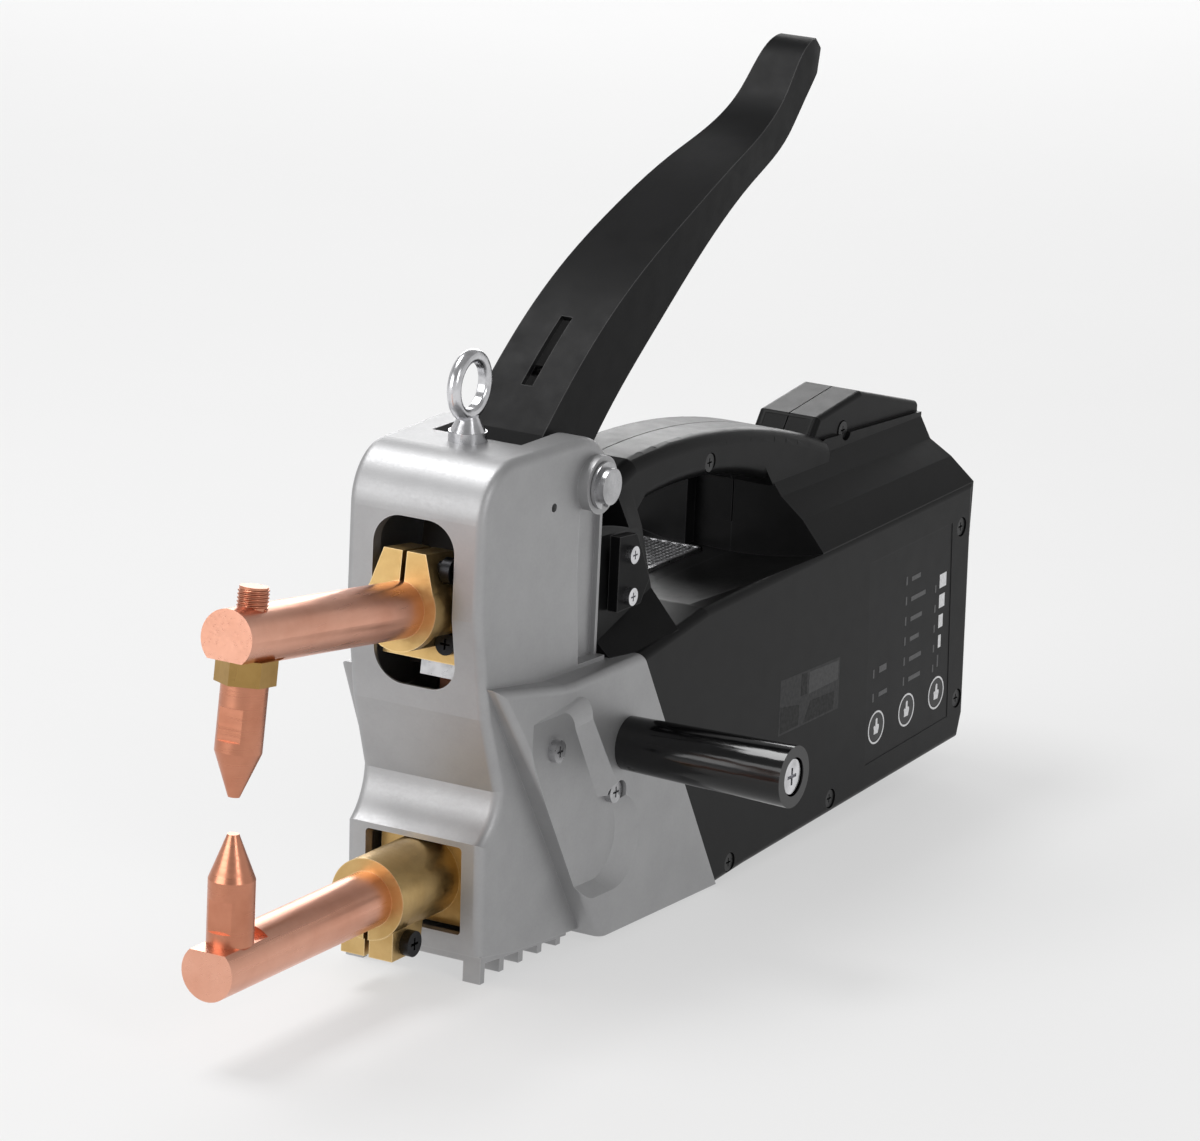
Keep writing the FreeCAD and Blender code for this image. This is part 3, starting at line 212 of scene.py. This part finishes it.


# The edge colours given to cast_metal and plastic below are painted highlights along the sharp edges.
LOOK = {
    "arm_copper": copper("arm_copper", (0.80, 0.42, 0.30), (0.72, 0.35, 0.24), (1, 0.02, 1), (0.26, 0.36),
                         (0.55, 0.25, 0.17)),
    "electrode_copper": copper("electrode_copper", (0.62, 0.27, 0.17), (0.50, 0.20, 0.12), (0.03, 0.03, 1),
                               (0.24, 0.38), (0.34, 0.13, 0.08)),
    "nut_brass": copper("nut_brass", (0.46, 0.29, 0.10), (0.34, 0.20, 0.06), (1, 1, 0.05), (0.26, 0.4),
                        (0.16, 0.08, 0.03)),
    "cast_brass": cast_metal("cast_brass", (0.62, 0.43, 0.19), (0.50, 0.33, 0.13), (0.3, 0.45), 420, 0.00008,
                             (0.78, 0.60, 0.33)),
    "casting_grey": cast_metal("casting_grey", (0.40, 0.40, 0.405), (0.37, 0.37, 0.375), (0.46, 0.54), 900,
                               0.00002, (0.46, 0.46, 0.465), 0.85),
    "body_black": plastic("body_black", (0.006, 0.006, 0.0062), (0.30, 0.38), ior=1.19),
    # the lever's bright edge colour paints the highlight line along its edges
    "lever_black": plastic("lever_black", (0.005, 0.005, 0.0053), (0.36, 0.46), 1400, 0.00003,
                           (0.07, 0.07, 0.07), ior=1.15),
    "grip_black": plastic("grip_black", (0.002, 0.002, 0.0022), (0.10, 0.16), 500, 0.00001,
                          (0.01, 0.01, 0.01)),
    "bright_zinc": steel("bright_zinc", (0.72, 0.72, 0.74), (0.16, 0.3), scale=160, bump=0.0001),
    "plain_steel": steel("plain_steel", (0.50, 0.50, 0.51), (0.24, 0.4)),
    "black_steel": steel("black_steel", (0.03, 0.03, 0.032), (0.3, 0.45)),
    "insulator": plastic("insulator", (0.02, 0.016, 0.014), (0.4, 0.6)),
    "panel_face": plastic("panel_face", (0.0085, 0.0085, 0.0088), (0.34, 0.42), ior=1.2),
    "key_cap": plastic("key_cap", (0.004, 0.004, 0.0042), (0.35, 0.45)),
    "circuit_board": plastic("circuit_board", (0.01, 0.09, 0.03), (0.3, 0.4)),
    "winding": laminated("winding", (0.5, 0.22, 0.12), (0.12, 0.05, 0.02), 320, "Z"),
    "lamination": laminated("lamination", (0.16, 0.16, 0.17), (0.03, 0.03, 0.03), 500, "X"),
    "module_black": plastic("module_black", (0.012, 0.012, 0.013), (0.45, 0.6)),
}
OTHER = {"electrode_nut": "nut_brass", "shell_screws": "key_cap"}


SLOTS = {part["node"]: part["material_slot"] for part in frame["record"]["subparts"]}


def dress():
    for name, thing in NODES.items():
        look = LOOK[OTHER.get(name, SLOTS[name])]
        thing.data.materials.clear()
        thing.data.materials.append(look)


def soften():
    """Small rounded edges on what was left sharp."""
    widths = {"lower_arm": 0.0006, "upper_arm": 0.0006, "lower_electrode": 0.0003,
              "upper_electrode": 0.0003, "electrode_nut": 0.0004, "lower_clamp": 0.0008,
              "upper_clamp": 0.0008, "hand_lever": 0.0008, "front_casting": 0.0016,
              "side_brackets": 0.0006, "lower_guard": 0.0004, "control_panel": 0.0002,
              "shunt_lug": 0.0005, "right_shell": 0.0006, "left_shell": 0.0006,
              "lever_pivot_pin": 0.0006, "side_grip": 0.0006, "cable_gland": 0.0005}
    for name, width in widths.items():
        if name == "front_casting":
            merge = NODES[name].modifiers.new("merge", "DECIMATE")
            merge.decimate_type = "DISSOLVE"
            merge.angle_limit = math.radians(0.4)
        bevel = NODES[name].modifiers.new("edge", "BEVEL")
        bevel.width = width
        bevel.segments = 3 if name == "front_casting" else 2
        bevel.limit_method = "ANGLE"
        bevel.angle_limit = math.radians(32)
        bevel.harden_normals = False
        NODES[name].data.shade_smooth()
        NODES[name].modifiers.new("weighted", "WEIGHTED_NORMAL").keep_sharp = True


# ------------------------------------------------------------------------------------------ pieces
DATUM = Vector((0, -13.5, -44.9))


def place(x, y, z):
    """A point given in mm from the front end of the lower arm, on its axis."""
    return (Vector((x, y, z)) + DATUM) * 0.001


def skin_over(form, rows, capped=False, closed=False):
    """Faces between neighbouring rows of points, each row a loop; closed joins the last row to the first."""
    after_rows = rows[1:] + rows[:1] if closed else rows[1:]
    for first, second in zip(rows, after_rows):
        for index in range(len(first)):
            after = (index + 1) % len(first)
            form.faces.new((first[index], first[after], second[after], second[index]))
    if capped:
        form.faces.new(rows[0])
        form.faces.new(list(reversed(rows[-1])))


def prism(form, loop, rise):
    """A closed solid between a loop of points and the same loop moved along rise."""
    low = [form.verts.new(point) for point in loop]
    high = [form.verts.new(Vector(point) + rise) for point in loop]
    skin_over(form, [low, high], capped=True)


def ring(form, centre, inner, outer, rise, count=40):
    """A flat washer in the YZ plane."""
    rows = []
    for radius, lift in ((inner, 0), (outer, 0), (outer, rise), (inner, rise)):
        turns = [math.tau * step / count for step in range(count)]
        rows.append([form.verts.new(place(centre[0] + lift, centre[1] + radius * math.cos(a),
                                          centre[2] + radius * math.sin(a))) for a in turns])
    skin_over(form, rows, closed=True)


def finish(form, name, look, body, smooth=False):
    bmesh.ops.recalc_face_normals(form, faces=form.faces)
    mesh = bpy.data.meshes.new(name)
    form.to_mesh(mesh)
    form.free()
    if smooth:
        mesh.shade_smooth()
    mesh.materials.append(look)
    piece = bpy.data.objects.new(name, mesh)
    bpy.context.collection.objects.link(piece)
    if body:
        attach(piece, body)
    return piece


def ink(name, tone):
    skin = Surface(name, IOR=1.3)
    darker = tuple(channel * 0.8 for channel in tone)
    skin.colour(skin.ramp(skin.noise(900, 3), [(0.3, darker), (0.6, tone)]))
    skin.roughness(skin.range(skin.noise(600), 0.4, 0.55))
    return skin.material


PANEL_SIDE, LABEL_SIDE = 39.79, 39.97
KEYS = {"material": (401.3, -1.0), "thickness": (426.4, 0.2), "current": (451.5, 1.4)}
SLANT = 0.045


def printed(form, station, height, width, tall, depth=0.06):
    """A printed block on the panel, leaning with the panel's front edge."""
    corners = [(0, 0), (width, width * SLANT), (width, tall + width * SLANT), (0, tall)]
    loop = [place(PANEL_SIDE, station + along - 0.05 * up, height + up) for along, up in corners]
    prism(form, loop, Vector((depth * 0.001, 0, 0)))


def panel_print():
    """Setting lamps, their captions as plain bars, the five thickness bars and the rings round the keys."""
    white, grey = ink("print_white", (0.75, 0.75, 0.76)), ink("print_grey", (0.10, 0.10, 0.102))
    form = bmesh.new()
    for row, width in enumerate((5.6, 4.6, 3.6, 2.2)):
        printed(form, 451.8 - width / 2, 44.0 - 8.1 * row, width, 5.5 - 0.15 * row)
    for station, height in KEYS.values():
        ring(form, (PANEL_SIDE, station, height), 5.85, 6.6, 0.06)
    finish(form, "panel_print_white", white, "frame")
    form = bmesh.new()
    printed(form, 450.6, 12.0, 1.1, 4.8)
    for row in range(5):
        printed(form, 445.2 + 0.4 * row, 43.0 - 8.1 * row, 1.1, 3.0)
    for row, width in enumerate((7.4, 12.0, 9.6, 7.6, 10.0, 9.8)):
        printed(form, 420.0 + 0.4 * row, 51.2 - 8.1 * row, 1.1, 3.4)
        printed(form, 424.6 + 0.4 * row, 52.0 - 8.1 * row, width, 1.8)
    for row, width in enumerate((6.0, 7.0)):
        printed(form, 396.2 + 0.6 * row, 19.4 - 9.6 * row, 1.1, 3.4)
        printed(form, 401.2 + 0.6 * row, 20.6 - 9.6 * row, width, 2.6 - 0.8 * row)
    finish(form, "panel_print_grey", grey, "frame")

    # a raised pointing hand on each key
    hand = [(-1.7, -2.6), (1.6, -2.6), (2.3, -0.4), (2.2, 0.8), (0.9, 1.1), (0.8, 3.3), (0.1, 3.7),
            (-0.6, 3.3), (-0.7, 0.4), (-1.5, 0.9), (-2.1, 0.4), (-1.6, -1.2)]
    for name, (station, height) in KEYS.items():
        form = bmesh.new()
        loop = [place(PANEL_SIDE - 0.01, station + a, height + b) for a, b in hand]
        prism(form, loop, Vector((0.00008, 0, 0)))
        finish(form, name + "_key_mark", white, name + "_key_body")


def rating_label():
    """A plain dark label between the grip and the panel, divided into blank fields."""
    ground, field, dark = (0.020, 0.020, 0.0205), (0.05, 0.05, 0.051), (0.001, 0.001, 0.001)
    for name, tone, outline in (
            ("label_ground", ground, [(320.5, 14), (368, 14.3), (367.5, 34.5), (320.5, 35.5)]),
            ("label_field", field, [(343, 25.5), (366.5, 26), (366.3, 33.5), (343, 34)]),
            ("label_foot", dark, [(340, 14.8), (364, 15), (364, 22), (345, 22.5)]),
            ("label_corner", dark, [(321.5, 14.8), (336, 15), (336, 23), (321.5, 25)]),
            ("label_stripe", dark, [(337, 26), (341.5, 26), (341.5, 34.3), (337, 34.6)])):
        form = bmesh.new()
        lift = 0.04 if name == "label_ground" else 0.07
        prism(form, [place(LABEL_SIDE, a, b) for a, b in outline], Vector((lift * 0.001, 0, 0)))
        finish(form, name, ink(name + "_ink", tone), "frame")


def hump_gap_painted_shade():
    """Black strips round the plate that closes the hump's front: painted shade where the gaps would be."""
    form = bmesh.new()
    half, gap = 10.5, 0.8
    corner, lean, out = Vector((0, 387, 111.5)), Vector((0, 5.0, 6.8)), Vector((0, -0.00012, 0.00009))
    for x_low, x_high, low, high in ((-half, half, 0.0, 0.13), (-half, half, 0.84, 0.93),
                                     (half - gap, half, 0.13, 0.84), (-half, gap - half, 0.13, 0.84)):
        foot, head = corner + lean * low, corner + lean * high
        prism(form, [place(x_low, foot.y, foot.z), place(x_high, foot.y, foot.z),
                     place(x_high, head.y, head.z), place(x_low, head.y, head.z)], out)
    finish(form, "hump_gap_painted_shade", ink("gap_painted_shade", (0.001, 0.001, 0.001)), "frame")


def wire(form, path, radius, sides=10):
    """A round wire along a path that stays near the YZ plane."""
    rows = []
    for index, point in enumerate(path):
        ahead = path[min(index + 1, len(path) - 1)] - path[max(index - 1, 0)]
        flat = Vector((1, 0, 0)).cross(ahead).normalized()
        out = ahead.cross(flat).normalized()
        turns = [math.tau * step / sides for step in range(sides)]
        rows.append([form.verts.new(point + (flat * math.cos(a) + out * math.sin(a)) * radius)
                     for a in turns])
    skin_over(form, rows, capped=True)


def spring():
    """The torsion spring: its coil and foot stay still, and its long leg turns with the lever."""
    station, height, radius, thickness = 189.0, 135.0, 10.0, 0.0009
    foot_side, leg_side, foot_length = 8.0, 11.4, 20
    pin = Vector((209 - station, 164.4 - height))
    leave = math.atan2(pin.y, pin.x) - math.acos(radius / pin.length)
    sweep = leave + 3 * math.tau
    coil_steps, leg_steps = 96, 8

    path = [place(foot_side, station + radius, height - foot_length + 5 * step) for step in range(4)]
    for step in range(coil_steps + 1):
        share = step / coil_steps
        turn = sweep * share
        path.append(place(foot_side + (leg_side - foot_side) * share,
                          station + radius * math.cos(turn), height + radius * math.sin(turn)))
    form = bmesh.new()
    wire(form, path, thickness)
    coil = finish(form, "spring_coil", LOOK["plain_steel"], "frame", smooth=True)

    start = Vector((station + radius * math.cos(leave), height + radius * math.sin(leave)))
    along = (Vector((station, height)) + pin - start).normalized()
    length = math.sqrt(pin.length ** 2 - radius ** 2) - 3.2
    path = []
    for step in range(leg_steps + 1):
        point = start + along * length * step / leg_steps
        path.append(place(leg_side, point.x, point.y))
    form = bmesh.new()
    wire(form, path, thickness)
    leg = finish(form, "spring_leg", LOOK["plain_steel"], "lever", smooth=True)
    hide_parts("return_spring")
    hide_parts("return_spring")


def shunt():
    """The copper strap: thin foils, fixed at the busbar, drawn in one shape that does not follow the jaw."""
    low_side, high_side, foils, pitch, thickness = -1.5, 12, 5, 0.6, 0.46
    bend, centre = 6.5, Vector((152.5, 28.2))
    upright, flat = centre.x - bend, centre.y - bend
    path = [Vector((upright, 68.9 - 2.7 * step)) for step in range(15)]
    path += [centre - bend * Vector((math.cos(a), math.sin(a)))
             for a in (math.pi / 2 * step / 8 for step in range(9))]
    path += [Vector((centre.x + 8 + 9.9 * step, flat)) for step in range(9)]
    path.append(Vector((250, flat)))
    form = bmesh.new()
    for foil in range(foils):
        inside = pitch * foil - 1.44
        rows = []
        for index, point in enumerate(path):
            ahead = (path[min(index + 1, len(path) - 1)] - path[max(index - 1, 0)]).normalized()
            out = Vector((-ahead.y, ahead.x))
            inner, outer = point + out * inside, point + out * (inside + thickness)
            corners = ((low_side, inner), (high_side, inner), (high_side, outer), (low_side, outer))
            rows.append([form.verts.new(place(x, edge.x, edge.y)) for x, edge in corners])
        skin_over(form, rows, capped=True)
    piece = finish(form, "shunt_foils", LOOK["electrode_copper"], None)
    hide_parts("flexible_shunt")
    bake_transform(piece)


TILT, SWING = math.radians(6.9), math.radians(3.78)
ROCK = Vector((0, 205, 58))


def on_jaw(x, along, above):
    """A point of the tilted upper jaw, given along and square to its arm from the electrode's axis."""
    swing, tilt = Matrix.Rotation(-SWING, 3, "X"), Matrix.Rotation(-TILT, 3, "X")
    tip = ROCK + swing @ (Vector((0, 13.5, 45.06)) - ROCK)
    return (tip + tilt @ Vector((x, along, above + 54.2)) + DATUM) * 0.001


def stud_thread():
    """The thread on the stud where it stands out of the arm: a ridge wound round it."""
    form = bmesh.new()
    pitch, low, high, count = 1.25, 9.0, 15.6, 28
    section = [(4.85, -0.56), (5.35, -0.06), (5.35, 0.06), (4.85, 0.56)]
    rows = []
    for step in range(int((high - low) / pitch * count) + 1):
        turn = math.tau * step / count
        lift = low + pitch * step / count
        rows.append([form.verts.new(on_jaw(r * math.cos(turn), r * math.sin(turn), lift + up))
                     for r, up in section])
    skin_over(form, rows, capped=True)
    finish(form, "stud_thread", LOOK["electrode_copper"], "jaw", True)


def vent_mesh():
    """Expanded metal over the fan: a border and two families of crossing strands."""
    form = bmesh.new()
    x0, x1, y0, y1, low = -34.9, -8.1, 265.1, 342.9, 72.7
    border = 1.2
    for a, b, c, d in ((x0, x0 + border, y0, y1), (x1 - border, x1, y0, y1),
                       (x0, x1, y0, y0 + border), (x0, x1, y1 - border, y1)):
        loop = [place(a, c, low), place(b, c, low), place(b, d, low), place(a, d, low)]
        prism(form, loop, Vector((0, 0, 0.0015)))
    slope, half, pitch = 0.55, 0.42, 2.5
    width = x1 - x0
    for lean in (1, -1):
        base = low + (0.45 if lean > 0 else 0.75)
        for index in range(-8, 40):
            start = y0 + index * pitch
            rise = width * slope
            if lean < 0:
                start, rise = start + rise, -rise
            enter, leave = sorted(((y0 - start) / rise, (y1 - start) / rise))
            enter, leave = max(0.0, enter), min(1.0, leave)
            if leave - enter < 0.03:
                continue
            ax, ay = x0 + width * enter, start + rise * enter
            bx, by = x0 + width * leave, start + rise * leave
            loop = [place(ax, ay - half, base), place(bx, by - half, base),
                    place(bx, by + half, base), place(ax, ay + half, base)]
            prism(form, loop, Vector((0, 0, 0.0005)))
    look = steel("mesh_steel", (0.62, 0.62, 0.63), (0.25, 0.4), scale=500)
    piece = finish(form, "vent_mesh_strands", look, "frame")
    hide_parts("vent_mesh")


# ------------------------------------------------------------------------------------------ stage
def area_light(name, place, aim, size_x, size_y, power):
    light = bpy.data.lights.new(name, "AREA")
    light.shape = "RECTANGLE"
    light.size, light.size_y, light.energy = size_x, size_y, power
    thing = bpy.data.objects.new(name, light)
    bpy.context.collection.objects.link(thing)
    thing.location = place
    thing.visible_camera = False
    thing.rotation_euler = (Vector(aim) - Vector(place)).to_track_quat("-Z", "Y").to_euler()


def stage():
    """A pale round floor whose rim curves up all the way round, so that every view has the same ground."""
    low = cad_box[0][2]
    flat, bend, wall, count = 4.6, 1.2, 2.4, 96
    profile = [(flat, low)]
    profile += [(flat + bend * math.sin(a), low + bend - bend * math.cos(a))
                for a in (math.pi / 2 * step / 12 for step in range(1, 13))]
    profile.append((flat + bend, low + wall))
    form = bmesh.new()
    turns = [-math.tau * step / count for step in range(count)]
    rows = [[form.verts.new((radius * math.cos(turn), radius * math.sin(turn), z)) for turn in turns]
            for radius, z in profile]
    form.faces.new(list(reversed(rows[0])))
    skin_over(form, rows)
    mesh = bpy.data.meshes.new("floor")
    form.to_mesh(mesh)
    form.free()
    mesh.shade_smooth()
    floor = bpy.data.objects.new("floor", mesh)
    bpy.context.collection.objects.link(floor)
    skin = Surface("floor_paint", Roughness=0.9, Emission_Color=(1, 1, 1, 1), Emission_Strength=0.51)
    skin.colour(skin.ramp(skin.noise(3), [(0.3, (0.295, 0.295, 0.295)), (0.7, (0.305, 0.305, 0.305))]))
    mesh.materials.append(skin.material)

    world = bpy.data.worlds.new("studio")
    bpy.context.scene.world = world
    world.use_nodes = True
    world.node_tree.nodes["Background"].inputs["Color"].default_value = (1, 1, 1, 1)
    world.node_tree.nodes["Background"].inputs["Strength"].default_value = 0.38
    target = (0, 0.2, 0.05)
    area_light("key", (-0.9, -1.7, 0.75), target, 1.7, 1.1, 18)
    area_light("side", (1.5, -0.5, 0.8), target, 0.5, 0.8, 5)
    area_light("top", (-0.55, 0.1, 1.25), target, 0.7, 0.45, 11)
    area_light("back", (-1.23, 2.39, 0.80), target, 1.8, 0.9, 20)

    camera = bpy.data.cameras.new("camera")
    camera.lens = 180
    camera.sensor_width = 36
    camera.clip_end = 20
    thing = bpy.data.objects.new("camera", camera)
    bpy.context.collection.objects.link(thing)
    right, up, back_way = (0.8645, 0.5005, 0.0452), (-0.1664, 0.2003, 0.9655), (0.4742, -0.8422, 0.2565)
    turn = Matrix((right, up, back_way)).transposed().to_quaternion()
    thing.rotation_mode = "QUATERNION"
    thing.rotation_quaternion = turn
    thing.location = (1.0274, -1.5871, 0.5962)
    bpy.context.scene.camera = thing
    bpy.context.scene.view_settings.view_transform = "Standard"


dress()
soften()
panel_print()
rating_label()
hump_gap_painted_shade()
stud_thread()
spring()
shunt()
vent_mesh()
stage()
